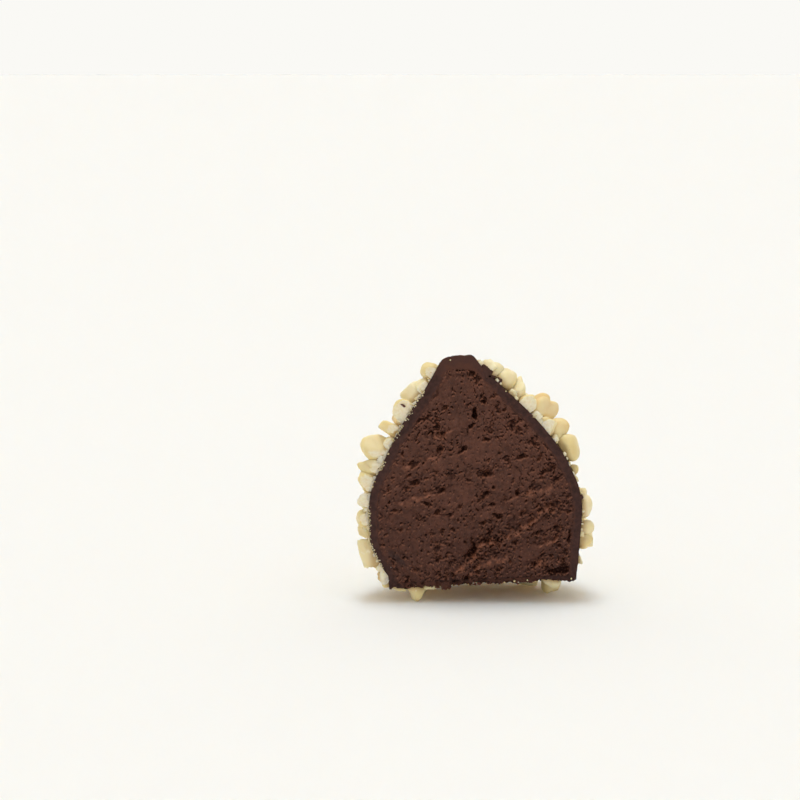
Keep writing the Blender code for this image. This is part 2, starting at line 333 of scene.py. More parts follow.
def ledges(points, crumb):
    """(ledge, over, under): how much each point is on a ledge's crest, over it and under it."""
    ledge, over, under = np.zeros((3, len(points)))
    wander = 0.6 * lumps(points, 1.4 * MM, 3, seed=4.0)
    broken = np.clip(0.95 + lumps(points, 1.6 * MM, 2, seed=18.0), 0.1, 1.3)
    for start, end, share in LEDGES:
        below, beside = below_line(points, start, end)
        below = below + wander
        beside = beside * broken * share
        hollow = smoothstep(0.15, 0.5, -below) * np.exp(np.minimum(below, 0) / HOLLOW_REACH)
        proud = smoothstep(0.1, 0.6, below) * np.exp(-np.maximum(below, 0) / UNDER_REACH)
        ledge = np.maximum(ledge, beside * np.exp(-((below / LEDGE_HALF) ** 2)))
        over = np.maximum(over, beside * hollow)
        under = np.maximum(under, beside * proud)
    clumps = 0.9 + 0.6 * crumb + 1.6 * lumps(points, 0.6 * MM, 2, seed=19.0)
    return ledge * np.clip(clumps, 0.15, 1.8), over, under


def plateaus(points, calm):
    """(raised, crack): how much each point is on a smooth plateau and in the crack round one."""
    plateau = calm + 0.5 * lumps(points, 1.0 * MM, 4, seed=11.1) - 0.3
    raised = smoothstep(0.02, 0.14, plateau)
    open_here = smoothstep(-0.15, 0.25, lumps(points, 1.3 * MM, 3, seed=20.0))
    return raised, np.exp(-(((plateau - 0.02) / 0.1) ** 2)) * open_here


def ganache_relief(points):
    """(height, pit, crest, rough): how far the cut ganache stands out, where shade is painted
    in its pits, hollows and cracks and on rims turned away from the light, where a highlight is painted
    on torn edges and crests that catch the light, and where the crumb is coarse. All but height are 0
    to 1."""
    inside, calm, low_right = tears(points)
    above = tears(points + (0, 0, 0.2 * MM))[0]
    torn = smoothstep(-0.03, 0.13, inside)
    crumb = lumps(points, 0.26 * MM, 3, seed=9.4)
    depth = torn * (0.12 + 0.7 * np.clip(inside, 0, 0.8) + 0.22 * crumb)
    lip = smoothstep(-0.10, -0.01, inside) * (1 - torn)
    ledge, over, under = ledges(points, crumb)
    raised, crack = plateaus(points, calm)
    swell = 0.10 * lumps(points, 4.5 * MM, 2, seed=6.6)
    swell += 0.05 * lumps(along_smear(points), 1.4 * MM, seed=7.6)
    grain = 0.7 * lumps(points, 0.2 * MM, 2, seed=1.9) + 0.6 * lumps(points, 0.45 * MM, 2, seed=2.9)
    height = swell + PLATEAU_RISE * raised - CRACK_DEPTH * crack + LIP_RISE * lip
    height += LEDGE_RISE * ledge - HOLLOW_DEPTH * over + PROUD_UNDER * under - depth
    height += grain * (0.034 + 0.03 * torn + 0.03 * low_right)
    shaded = torn * (1 - smoothstep(0.0, 0.06, above))
    lit = lip * smoothstep(0.0, 0.08, above)
    # pit is painted shade: darker inside tears and dents, on upper rims turned away from the light, in
    # cracks round plateaus, and in the hollows over ledges and under them
    pit = torn * (0.05 + np.clip(1.3 * inside, 0, 0.8) - 0.6 * crumb)
    pit += 0.55 * shaded + 0.3 * under + 0.6 * crack + over * (1.1 - 3.0 * crumb)
    pit += 0.25 * smoothstep(0.1, 0.5, -grain) * (1 - 0.6 * calm)
    # crest is a painted highlight on lower lips, ledge crests and raised crumbs that face the light
    crest = 0.8 * lit + 3.0 * ledge + 0.6 * torn * smoothstep(0.1, 0.5, crumb)
    low = 1 - smoothstep(0.0, 13 * MM, points[:, 2] - 0.35 * np.abs(points[:, 0] - 4 * MM))
    rough = 0.6 * low + 0.4 * low_right * (1 - calm)
    return height * MM, np.clip(pit, 0, 1), np.clip(crest, 0, 1), np.clip(rough, 0, 1)


def ganache_front(shape, outline):
    """A fine grid over the cut face, from wall to wall."""
    rows = outline[GANACHE_ACROSS:]
    across = 2 * GANACHE_ACROSS
    sheet = bmesh.ops.create_grid(shape, x_segments=across, y_segments=GANACHE_UP, size=1.0)["verts"]
    for vertex in sheet:
        radius, height = rows[round((vertex.co.y + 1) / 2 * GANACHE_UP)]
        vertex.co = (vertex.co.x * radius, 0, height)


def shell_colour_beside(near, outline):
    """How much the ganache next to the shell, or in the fold at the left foot, looks like it."""
    to_shell = line_distance(near, outline) / MM - 0.25 * lumps(near, 1.2 * MM, 3, seed=14.0)
    beside = 1 - smoothstep(-0.1, 0.35, to_shell)
    beside *= 1 - smoothstep(26 * MM, 28 * MM, near[:, 2])
    fold = in_ellipse(near, -11.2, 4.0, 1.9, 0.8, tilt=-0.95)
    return np.maximum(beside, smoothstep(0.1, 0.5, fold))


def ganache(look):
    walls = [wall - JOIN for wall in WALLS]
    outline = section(walls, GANACHE_ACROSS, GANACHE_UP)
    shape = bmesh.new()
    ganache_front(shape, outline)
    spin_half(shape, outline, GANACHE_TURN)
    close(shape)
    mesh = mesh_from(shape, "ganache_cut")
    points = places(mesh)
    cut = on_knife(points)
    near = points[cut]
    height, pit, crest, rough = ganache_relief(near)
    edge = smoothstep(0.0, 0.6 * MM, wall_distance(near, walls))
    points = in_frame(points)
    points[cut, 1] -= height * (EDGE_SHARE + (1 - EDGE_SHARE) * edge)
    put(mesh, points)
    # painted shade in the pits and a painted highlight on the crests, for the material to read
    paint_where(mesh, "pit", cut, pit)
    paint_where(mesh, "crest", cut, crest)
    paint_where(mesh, "rough", cut, rough)
    paint_where(mesh, "beside_shell", cut, shell_colour_beside(near, outline))
    return add_piece("ganache_cut", mesh, look, "ganache")


def line_distance(points, outline):
    """How far points of the cut face are from the outline, on either side of the axis."""
    tree = kdtree.KDTree(len(outline))
    for index, (radius, height) in enumerate(outline):
        tree.insert((radius, 0, height), index)
    tree.balance()
    return np.array([tree.find((abs(x), 0, z))[2] for x, _, z in points])


def wall_distance(points, walls):
    """How far points of the cut face are from the drop's flank, measured sideways."""
    side = flank(walls, FINE_STEPS)
    return np.interp(points[:, 2], side[:, 1], side[:, 0]) - np.abs(points[:, 0])


# ---------- chocolate shell ----------

SHELL_ACROSS = 60  # faces under the base, from the axis to the corner
SHELL_UP = 230
SHELL_DEEP = 9  # faces across the wall where it is cut
SHELL_TURN = 96
SHELL_TURN_INSIDE = 24

CREEP = 0.34  # how far the chocolate crept up round the nuts, in millimetres
SHOULDER = 0.32 * MM  # how far the peak's right corner stands up
SHOULDER_AT = 2.1 * MM
SHOULDER_HALF = 0.9 * MM
PEAK_TILT = 0.05
FOOT_RAG = 0.5 * MM
FOOT_LEFT = (-12.2 * MM, -11.0 * MM)  # between these the foot's ends look like chocolate again
FOOT_RIGHT = (6 * MM, 9 * MM)


def shell_front(shape, outer, inner):
    """The cut band: a ring of faces round the ganache, from the shell's skin to its inside."""
    last = len(outer) - 1
    ring = bmesh.ops.create_grid(shape, x_segments=2 * last, y_segments=SHELL_DEEP, size=1.0)["verts"]
    for vertex in ring:
        step = round(abs(vertex.co.x) * last)
        share = (vertex.co.y + 1) / 2
        radius, height = outer[last - step] * (1 - share) + inner[last - step] * share
        vertex.co = (math.copysign(radius, vertex.co.x), 0, height)


def raised_round(points, nuts):
    """How much the chocolate has crept up round the nuts, 0 to 1."""
    raised = np.zeros(len(points))
    for nut in nuts:
        away = np.linalg.norm(points - np.array(nut.place), axis=1)
        raised = np.maximum(raised, 1 - smoothstep(0.75 * reach(nut), reach(nut) + 0.9 * MM, away))
    return raised


def skin_flow(points, nuts):
    """How far the dipped skin's waves move each point. The knife's edge stays where it is."""
    outward = points * (1, 1, 0.3)
    outward /= np.maximum(np.linalg.norm(outward, axis=1), TINY)[:, None]
    flow = 0.17 * lumps(points, 3.0 * MM, 2, seed=1.3) + 0.05 * lumps(points, 0.9 * MM, 2, seed=4.4)
    flow += CREEP * raised_round(in_frame(points), nuts) - 0.1
    flow *= smoothstep(0, 1.2 * MM, points[:, 1])
    return outward * (flow * MM)[:, None]


def ragged_foot(points):
    """How far the torn lower edge of the cut goes up and down."""
    ragged = lumps(points, 1.5 * MM, 4, seed=12.0)
    ragged += 0.7 * np.minimum(0, lumps(points, 0.4 * MM, 2, seed=13.0))
    ragged *= 1 - smoothstep(0, 1.4 * MM, points[:, 1])
    return FOOT_RAG * ragged * (1 - smoothstep(0.2 * MM, 0.7 * MM, points[:, 2]))


def peak_shape(points):
    """How far the flat peak goes up: it slopes, with a sharp shoulder at its right end."""
    x, _, z = points.T
    slope = PEAK_TILT * (x - 2 * MM) * smoothstep(29.5 * MM, 31.5 * MM, z)
    shoulder = np.exp(-(((x - SHOULDER_AT) / SHOULDER_HALF) ** 2)) * smoothstep(30.4 * MM, 31.4 * MM, z)
    uneven = lumps(points, 1.0 * MM, 2, seed=15.0) * smoothstep(29.5 * MM, 31 * MM, z)
    return SHOULDER * shoulder + slope + 0.12 * MM * uneven


def torn_off_foot(face):
    """How much the cut band's foot is covered with torn ganache, 0 to 1."""
    x, _, z = face.T
    foot = 1 - smoothstep(0.4 * MM, 1.6 * MM, z)
    return foot * smoothstep(*FOOT_LEFT, x) * (1 - smoothstep(*FOOT_RIGHT, x))


def shell(nuts, look):
    outer = section(NO_WALLS, SHELL_ACROSS, SHELL_UP)
    inner = section(WALLS, SHELL_ACROSS, SHELL_UP)
    shape = bmesh.new()
    shell_front(shape, outer, inner)
    spin_half(shape, outer, SHELL_TURN)
    spin_half(shape, inner, SHELL_TURN_INSIDE)
    close(shape)
    mesh = mesh_from(shape, "chocolate_shell_half")
    points = places(mesh)
    cut = on_knife(points)
    points += skin_flow(points, nuts)
    points[:, 2] += ragged_foot(points)
    points[:, 2] += peak_shape(points)
    peak = smoothstep(28.2 * MM, 30.4 * MM, points[:, 2])
    face = points[cut]
    grain = 0.03 * lumps(along_smear(face), 0.5 * MM, 2, seed=7.7)
    grain += 0.02 * lumps(face, 0.2 * MM, seed=3.7)
    torn = 1 - smoothstep(0.0, 2.2 * MM, face[:, 2])
    grain += 0.3 * torn * lumps(face, 0.45 * MM, 3, seed=5.7)
    foot = torn_off_foot(face)
    relief, pit, *_ = ganache_relief(face)
    to_outer, to_inner = line_distance(face, outer), line_distance(face, inner)
    points = in_frame(points)
    points[cut, 1] -= grain * MM + 0.8 * foot * relief
    put(mesh, points)
    paint(mesh, "cut", cut)
    paint(mesh, "peak", peak)
    # painted shade in the pits of the torn foot, as on the ganache
    paint_where(mesh, "pit", cut, pit * foot)
    paint_where(mesh, "inward", cut, to_outer / (to_outer + to_inner) + 1.2 * foot)
    return add_piece("chocolate_shell_half", mesh, look, "chocolate_shell")


# ---------- chopped nuts ----------

NUT_SINK = 0.35 * MM  # a nut's foot is this deep in the chocolate
NUT_HIDDEN = 0.45 * MM  # and this much more of it is out of sight there
LEAST_CUT = 0.34 * MM  # the knife cut no crumb smaller than this
FORWARD = 0.5 * MM  # the left rim's nuts are pushed this far to the cut
LEFT_RIM = 4 * MM  # behind the cut
KNIFE_GAP = 0.09 * MM  # from the knife's plane to where it left a nut's face
KNIFE_CHATTER = 0.10 * MM
NUT_SEED = 5
MOST_TRIES = 2500
BACK_FROM = 0.16  # radians from the knife's plane
NUTS_TO = 0.88  # of the body's height
NUT_LENGTH = (3.6 * MM, 6.0 * MM)
NUT_BREADTH = (0.60, 0.95)
NUT_HEIGHT = (2.3 * MM, 3.4 * MM)
NUT_SPACING = 0.86
COARSE = 2  # points on each span of the side, where the nuts are placed
CUT_NUMBERS = 18  # random numbers that one nut's cuts take
NUT_FINENESS = 4  # of the ball that a nut is pressed from

Nut = namedtuple("Nut", "place outward size turn toast shape", defaults=(None, None))
DOWN = Vector((0, 0, -1))

# Pieces under the base: place across and behind the cut, and size across, along and down
BASE_NUTS = (
    (-9.7, 1.5, 2.7, 2.8, 2.9), (10.0, 1.9, 2.7, 2.4, 1.9), (10.4, 6.0, 3.2, 3.0, 3.8),
    (-5.0, 6.4, 3.4, 3.0, 2.1), (-9.2, 7.4, 3.2, 3.6, 2.8), (0.8, 5.0, 2.4, 3.0, 1.4),
    (5.8, 5.4, 3.2, 3.0, 1.5), (6.9, 9.4, 3.0, 3.2, 3.6), (-2.2, 10.6, 3.6, 3.0, 2.9),
    (3.4, 11.4, 3.2, 2.6, 3.3), (0.4, 8.4, 2.6, 2.2, 2.2),
)
FRONT_ROW = 1.6  # the base's nuts nearer to the cut than this are plain chunks
# Where no nuts stuck: angle round the axis from +X in degrees, height and radius
BARE_SPOTS = (
    (22, 13.6, 1.9), (10, 2.8, 1.6), (50, 8.0, 2.6), (72, 22.5, 2.3), (98, 12.5, 3.1),
    (120, 4.5, 2.4), (128, 20.5, 2.2), (152, 12.0, 2.2),
)


def side_place(angle, height, per_span=SPAN_POINTS):
    """Where a nut on the flank meets the shell, and the outward direction there."""
    side = smooth_through(SIDE, per_span) * (BELLY_RADIUS, BODY_HEIGHT)
    step = int(np.clip(np.searchsorted(side[:, 1], height), 1, len(side) - 1))
    (r0, z0), (r1, z1) = side[step - 1], side[step]
    share = (height - z0) / (z1 - z0)
    around = Vector((math.cos(angle), math.sin(angle), 0))
    outward = (around * (z1 - z0) + Vector((0, 0, r0 - r1))).normalized()
    spot = around * (r0 + share * (r1 - r0)) + Vector((0, 0, height))
    return Vector(in_frame([spot])[0]), outward


def spot_at(x, y, z=0.0):
    """Where the frame has a point of the drop, given in millimetres."""
    return Vector(in_frame([(x * MM, y * MM, z * MM)])[0])


def reach(nut):
    return (nut.size.x + nut.size.y) / 4


def room_round(nut, others, spacing):
    """How far the nut is clear of its nearest neighbour, under 0 where they crowd each other."""
    gaps = ((nut.place - o.place).length - spacing * (reach(nut) + reach(o)) for o in others)
    return min(gaps)


def bare_spots():
    return [(side_place(math.radians(a), h * MM, COARSE)[0], r * MM) for a, h, r in BARE_SPOTS]


# Small pieces under the front of the base: across, behind the cut and length
BASE_BITS = (
    (-12.2, 1.1, 1.9), (-11.4, 3.0, 2.4), (-7.6, 1.2, 1.9), (-8.2, 3.6, 2.6),
    (-6.0, 0.8, 1.2), (-4.0, 3.4, 1.9), (7.6, 2.6, 1.7), (12.4, 3.2, 2.0),
)


def skip(rng, count=CUT_NUMBERS):
    """Passes over random numbers, so that the nuts fall where the frame has them."""
    for _ in range(count):
        rng.random()


def nut_pieces():
    """Every large piece of the coat: the rim, the base, then the back filled in at random."""
    rng = random.Random(NUT_SEED)
    bare = bare_spots()
    nuts = []
    for angle, height, *size, toast, shape in RIM_NUTS:
        place, outward = side_place(math.radians(angle), height * MM, COARSE)
        nuts.append(Nut(place, outward, Vector(size) * MM, 0.0, toast, shape))
        skip(rng)
    for x, y, *size in BASE_NUTS:
        shape = chunk if y < FRONT_ROW else None
        nuts.append(Nut(spot_at(x, y), DOWN, Vector(size) * MM, 0.0, 0.0, shape))
        skip(rng)
    for _ in range(MOST_TRIES):
        angle = rng.uniform(BACK_FROM, math.pi - BACK_FROM)
        height = rng.uniform(0.02, NUTS_TO) * BODY_HEIGHT
        place, outward = side_place(angle, height, COARSE)
        length = rng.uniform(*NUT_LENGTH)
        breadth = length * rng.uniform(*NUT_BREADTH)
        size = Vector((length, breadth, rng.uniform(*NUT_HEIGHT)))
        nut = Nut(place, outward, size, rng.uniform(0, math.tau))
        skip(rng)
        room = NUT_SPACING * reach(nut)
        on_bare = any((nut.place - middle).length < room + radius for middle, radius in bare)
        if room_round(nut, nuts, NUT_SPACING) >= 0 and not on_bare:
            nuts.append(nut)
    return nuts


def nut_axes(nut):
    """Axes of a piece: X along the flank, Z outwards."""
    across = nut.outward.cross(Vector((0, 0, 1)))
    if across.length < 0.1:
        across = Vector((0, 1, 0))
    across.normalize()
    along = across.cross(nut.outward)
    axes = Matrix((along, across, nut.outward)).transposed().to_4x4()
    return axes @ Matrix.Rotation(nut.turn, 4, "Z")


def direction_at(turn, rise):
    """A unit direction at an angle round Z, with a slope."""
    flat = np.array([math.cos(turn), math.sin(turn), rise])
    return flat / np.linalg.norm(flat)


def random_direction(rng, low=-1.0, high=1.0):
    rise = rng.uniform(low, high)
    flat = math.sqrt(1 - rise * rise)
    turn = rng.uniform(0, math.tau)
    return np.array([flat * math.cos(turn), flat * math.sin(turn), rise])


def side_faces(rng, count, near, far, slope=0.3):
    """Flat faces round Z, unevenly spaced."""
    start = rng.uniform(0, math.tau)
    turns = [start + math.tau * (step + rng.uniform(-0.22, 0.22)) / count for step in range(count)]
    return [(direction_at(t, rng.uniform(-slope, slope)), rng.uniform(near, far)) for t in turns]


# Each shape gives a kernel's lobes as (middle, size), the chopped faces as (direction, distance
# from the middle) and how crisp the edges between them are.


def chunk(rng):
    side = rng.uniform(-0.25, 0.25)
    lobes = [((0.25, 0.1, 0), (0.85, 0.8, 0.8)), ((-0.3, side, 0.05), (0.75, 0.7, 0.75))]
    return lobes, [(random_direction(rng, -0.5, 1.0), rng.uniform(0.45, 0.75)) for _ in range(5)], 11


def wedge(rng):
    top = (random_direction(rng, 0.8, 1.0), rng.uniform(0.4, 0.6))
    return [((0, 0, 0), (1.25, 1.2, 1.1))], [*side_faces(rng, 3, 0.4, 0.6, 0.25), top], 15


def rod(rng):
    lobes = [((0.35, 0, 0), (0.85, 0.55, 0.55)), ((-0.35, 0.05, 0), (0.85, 0.5, 0.55))]
    faces = []
    for turn in (1.57, 4.71):
        faces.append((direction_at(turn, rng.uniform(-0.5, 0.5)), rng.uniform(0.36, 0.5)))
    for turn in (0, math.pi):
        faces.append((direction_at(turn + rng.uniform(-0.5, 0.5), 0.2), rng.uniform(0.8, 1.0)))
    return lobes, [*faces, (random_direction(rng, 0.9, 1.0), 0.42)], 12


def slab(rng):
    turn = rng.uniform(0, math.tau)
    lobes = [(0.35 * direction_at(turn + s * 2.1, 0), (0.62, 0.62, 0.6)) for s in range(3)]
    flats = [(random_direction(rng, 0.93, 1.0), 0.3), (random_direction(rng, -1.0, -0.9), 0.4)]
    return lobes, [*flats, *side_faces(rng, 4, 0.55, 0.8)], 12


def pebble(rng):
    faces = [(random_direction(rng, -0.4, 1.0), rng.uniform(0.7, 0.85)) for _ in range(2)]
    return [((0, 0, 0), (1.0, 0.9, 0.95))], faces, 9


def lobed(rng):
    turn = rng.uniform(0, math.tau)
    lobes = []
    for step in range(3):
        middle = direction_at(turn + step * rng.uniform(1.8, 2.3), rng.uniform(-0.3, 0.5))
        lobes.append((0.42 * middle, (0.58, 0.55, 0.55)))
    return lobes, [(random_direction(rng, 0.5, 1.0), rng.uniform(0.5, 0.65))], 8


def half_kernel(rng):
    flat = (random_direction(rng, -0.2, 0.8), rng.uniform(0.12, 0.3))
    return [((0, 0, 0), (1.1, 0.85, 0.85))], [flat, *side_faces(rng, 2, 0.7, 0.9)], 14


SHAPES = (chunk, chunk, wedge, wedge, rod, slab, slab, pebble, lobed, half_kernel)

# Pieces along the rim of the cut: angle round the axis from +X in degrees, height above
# the base, size along the flank, across it and outwards in millimetres, toast and shape
RIM_NUTS = (
    (20, 28.7, 2.4, 2.3, 2.6, 0.0, chunk), (19, 27.5, 3.1, 3.0, 3.1, 0.0, pebble),
    (17, 25.9, 2.6, 3.2, 3.2, 0.0, slab), (5, 24.7, 2.4, 2.6, 2.4, 0.0, chunk),
    (15, 23.0, 3.9, 3.8, 4.2, 0.6, lobed), (3, 21.6, 2.2, 2.0, 2.2, 0.0, chunk),
    (11, 20.6, 3.0, 2.8, 3.5, 0.55, pebble), (10, 18.4, 4.4, 3.6, 3.2, 0.0, pebble),
    (6, 10.6, 3.2, 2.4, 2.0, 0.0, pebble), (7, 7.6, 2.0, 2.6, 2.4, 0.0, pebble),
    (7, 5.6, 2.3, 2.6, 2.3, 0.0, half_kernel), (160, 28.9, 2.6, 2.4, 2.5, 0.0, pebble),
    (175, 23.7, 2.9, 2.8, 2.7, 0.0, chunk), (170, 21.0, 2.3, 3.0, 3.0, 0.2, chunk),
    (170, 18.3, 3.6, 4.0, 4.2, 0.0, wedge), (172, 16.0, 2.6, 3.2, 3.4, 0.0, rod),
    (173, 14.2, 3.0, 3.0, 2.6, 0.2, pebble), (178, 12.0, 1.9, 2.2, 2.0, 0.0, chunk),
    (174, 9.4, 2.4, 2.4, 2.2, 0.0, pebble), (171, 4.7, 4.2, 3.8, 3.0, 0.0, wedge),
    (178, 1.8, 2.9, 2.0, 1.4, 0.0, chunk),
)
# Small pieces between those: angle, height and length
RIM_BITS = (
    (172, 22.6, 1.9), (176, 19.7, 1.7), (177, 17.2, 1.5), (166, 17.4, 2.4),
    (170, 12.9, 1.9), (168, 11.0, 2.2), (176, 10.6, 1.4), (166, 8.0, 2.0),
    (172, 7.4, 1.3), (177, 2.9, 1.5), (174, 0.7, 1.8), (13, 29.5, 2.3), (7, 26.2, 1.4),
    (3, 23.3, 1.6), (8, 22.2, 2.2), (3, 20.2, 1.3), (10, 6.6, 1.5), (4, 2.8, 1.2),
)


def lobe_reach(directions, centre, size):
    """How far an ellipsoid reaches along each direction from the middle."""
    scaled, middle = directions / np.array(size), np.array(centre) / np.array(size)
    square = (scaled * scaled).sum(axis=1)
    along = scaled @ middle
    return (along + np.sqrt(np.maximum(along**2 - square * (middle @ middle - 1), TINY))) / square


def chopped(directions, rng, shape=None):
    """(points, bare): a chopped piece in the given directions from its middle, and how much
    each point is on a chopped face and not on the kernel's own skin."""
    lobes, faces, crispness = (shape or rng.choice(SHAPES))(rng)
    rounds = [lobe_reach(directions, centre, size) for centre, size in lobes]
    kernel = sum(r**10 for r in rounds) ** (1 / 10)
    flats = [distance / np.maximum(directions @ normal, 0.02) for normal, distance in faces]
    pressed = sum(flat**-crispness for flat in flats)
    radius = (kernel**-crispness + pressed) ** (-1 / crispness)
    bare = pressed / (kernel**-crispness + pressed)
    for normal, _ in faces:
        if rng.random() < 0.5:
            radius *= 1 - rng.uniform(0.06, 0.22) * np.exp((directions @ normal - 1) / 0.13)
    for _ in range(rng.choice([0, 1, 1, 2, 3])):
        notch = directions @ random_direction(rng, -0.6, 0.9)
        radius *= 1 - rng.uniform(0.1, 0.36) * np.exp((notch - 1) / rng.uniform(0.02, 0.10))
    seed = rng.uniform(0, 90)
    fine = lumps(directions, 0.28, 2, seed=seed)
    radius *= 1 + 0.12 * lumps(directions, 0.8, seed=seed) + 0.035 * fine
    return directions * radius[:, None], bare


def stretched(points, size):
    low, high = points.min(axis=0), points.max(axis=0)
    return (points - (low + high) / 2) * (np.array(size) / (high - low))


def cut_by_knife(nut, points):
    """(points, cut): a nut in its place, cut off at the knife's plane and at the floor, and
    which of its points the knife moved."""
    speck = nut.size.x < LEAST_CUT
    at_left_rim = nut.place.x < 0 and nut.place.y < OFFSET[1] + LEFT_RIM and nut.outward.z > -0.9
    if at_left_rim and not speck:
        points[:, 1] -= FORWARD
    plane = OFFSET[1] + KNIFE_GAP
    cut = (points[:, 1] < plane) & (not speck)
    if cut.any():
        points[cut, 1] = plane + KNIFE_CHATTER * lumps(points[cut], 0.45 * MM, 4, seed=3.0)
    points[:, 2] = np.maximum(points[:, 2], 0)
    return points, cut


def nut_heap(name, nuts, rng, material, fineness):
    """Joins the pieces to one mesh, cut by the knife and flat where they stand."""
    heap = bmesh.new()
    shares = {"tone": [], "toast": [], "stuck": [], "bare": [], "knifed": []}
    for nut in nuts:
        ball = bmesh.ops.create_icosphere(heap, subdivisions=fineness, radius=1.0)["verts"]
        tilt = np.array(Matrix.Rotation(rng.uniform(-0.5, 0.5), 3, random_direction(rng)))
        directions = np.array([vertex.co.normalized() for vertex in ball])
        made, bare = chopped(directions, rng, nut.shape)
        hidden = min(NUT_HIDDEN, 0.25 * nut.size.z)
        local = stretched(made @ tilt.T, nut.size + Vector((0, 0, hidden)))
        sink = 0 if nut.size.x < LEAST_CUT else min(NUT_SINK, 0.3 * nut.size.z)
        local[:, 2] += (nut.size.z - hidden) / 2 - sink
        points = local @ np.array(nut_axes(nut).to_3x3()).T + np.array(nut.place)
        points, cut = cut_by_knife(nut, points)
        for vertex, point in zip(ball, points):
            vertex.co = point
        shares["tone"] += [rng.random()] * len(ball)
        toast = max(0.0, rng.uniform(-1.9, 1.0))
        shares["toast"] += [toast if nut.toast is None else nut.toast] * len(ball)
        shares["stuck"] += list(1 - smoothstep(0.1 * MM, min(1.1 * MM, 0.5 * nut.size.z), local[:, 2]))
        shares["bare"] += list(bare)
        shares["knifed"] += list(cut)
    mesh = mesh_from(heap, name)
    for attribute, values in shares.items():
        paint(mesh, attribute, values)
    return add_piece(name, mesh, material, "nut_coat")


SMALL_NUTS = 108
SMALL_TRIES = 5000
SMALL_SPACING = 0.72
SMALL_SEAT = 0.7  # the same, under the base
FLOOR_TRIES = 500
RIM_GAPS = (3, 13.8)  # heights on the right rim where few pieces stuck
RIM_GAP = 3.4 * MM  # and how far round them
CRUMBS = 300
RIM_CRUMBS = 120
RIM_CRUMB_SIZES = (0.25, 0.35, 0.45, 0.6, 0.7)
RIM_DUST = 480
# Specks of nut that the knife left on the cut: place across and up, and length
CUT_CRUMBS = (
    (-1.0, 31.1, 0.2), (-4.0, 29.4, 0.18), (-4.6, 28.6, 0.2), (-6.6, 25.6, 0.24),
    (-8.7, 23.0, 0.26), (-10.2, 20.6, 0.2), (5.4, 26.9, 0.2), (12.7, 19.0, 0.18),
    (3.2, 0.0, 0.25), (4.6, 0.1, 0.3), (5.2, -0.1, 0.2), (6.5, 0.2, 0.22),
    (12.9, 0.1, 0.24),
)


def small_nuts(nuts, rng):
    """Smaller pieces in the gaps between the nuts."""
    filled = list(nuts)
    spots = [*bare_spots(), *((side_place(0.1, h * MM)[0], RIM_GAP) for h in RIM_GAPS)]
    for angle, height, length in RIM_BITS:
        place, outward = side_place(math.radians(angle), height * MM)
        size = Vector((length, 0.9 * length, 0.85 * length)) * MM
        filled.append(Nut(place, outward, size, rng.uniform(0, math.tau), 0.0))
    for x, y, length in BASE_BITS:
        size = Vector((length, 0.8 * length, 0.6 * length)) * MM
        filled.append(Nut(spot_at(x, y), DOWN, size, 0.0, 0.0))
    for _ in range(SMALL_TRIES):
        angle = rng.uniform(0.1, math.pi - 0.1)
        place, outward = side_place(angle, rng.uniform(0.01, 0.93) * BODY_HEIGHT)
        length = rng.uniform(1.7, 3.2) * MM
        size = Vector((length, length * rng.uniform(0.6, 1.0), rng.uniform(1.2, 2.1) * MM))
        nut = Nut(place, outward, size, rng.uniform(0, math.tau))
        bare = any((nut.place - middle).length < 0.8 * radius for middle, radius in spots)
        if room_round(nut, filled, SMALL_SPACING) > 0 and not (bare and rng.random() < 0.85):
            filled.append(nut)
        if len(filled) >= len(nuts) + SMALL_NUTS:
            break
    for _ in range(FLOOR_TRIES):
        x, y = rng.uniform(-11, 12), rng.uniform(4.5, 12)
        size = Vector([rng.uniform(1.6, 2.3) * MM * s for s in (1.2, 1.0, 0.8)])
        nut = Nut(spot_at(x, y), DOWN, size, rng.uniform(0, math.tau))
        if room_round(nut, filled, SMALL_SEAT) > 0 and math.hypot(x, y) < 12:
            filled.append(nut)
    return filled[len(nuts) :]


def crumbs_on_shell(rng):
    crumbs = []
    for _ in range(CRUMBS):
        angle = rng.uniform(0.03, math.pi - 0.03)
        place, outward = side_place(angle, rng.uniform(0.0, 0.97) * BODY_HEIGHT)
        size = Vector([rng.uniform(0.6, 1.5) * MM * s for s in (1.0, 0.8, 0.7)])
        crumbs.append(Nut(place, outward, size, rng.uniform(0, math.tau)))
    return crumbs


def crumbs_at_rim(rng):
    """Crumbs round the pieces at the rim of the cut, most of them on the left."""
    crumbs = []
    for _ in range(RIM_CRUMBS):
        side = abs(rng.gauss(0, 1.6)) + 0.3
        angle = side if rng.random() < 0.25 else 180 - side
        height = rng.choice((rng.uniform(9, 24), rng.uniform(9, 24), rng.uniform(0.5, 29)))
        place, outward = side_place(math.radians(angle), height * MM)
        place += outward * rng.uniform(-0.1, 0.02) * MM
        size = Vector([rng.choice(RIM_CRUMB_SIZES) * MM * s for s in (1.1, 1.0, 0.9)])
        crumbs.append(Nut(place, outward, size, rng.uniform(0, math.tau), 0.0))
    return crumbs


def dust_at_rim(rng):
    """Nut dust that the knife dragged onto the left edge of the cut, in clusters."""
    specks = []
    for _ in range(RIM_DUST):
        height = rng.uniform(2, 27)
        if noise.noise(Vector((height / 1.9, 0.3, 0.7))) < rng.uniform(-0.5, 0.5):
            continue
        place, outward = side_place(math.pi, height * MM)
        shift = Vector((0, rng.uniform(-0.06, 0.06), 0)) - outward * abs(rng.gauss(0.0, 0.16))
        length = rng.uniform(0.08, 0.21)
        specks.append(Nut(place + shift * MM, outward, Vector((1, 1, 1)) * length * MM, 0.0, 0.0))
    return specks


def crumb_places(rng):
    crumbs = [*crumbs_on_shell(rng), *crumbs_at_rim(rng), *dust_at_rim(rng)]
    for x, z, length in CUT_CRUMBS:
        size = Vector((1, 1, 1)) * length * MM
        crumbs.append(Nut(spot_at(x, -0.05, z), Vector((0, -1, 0)), size, 0.0, 0.0))
    return crumbs


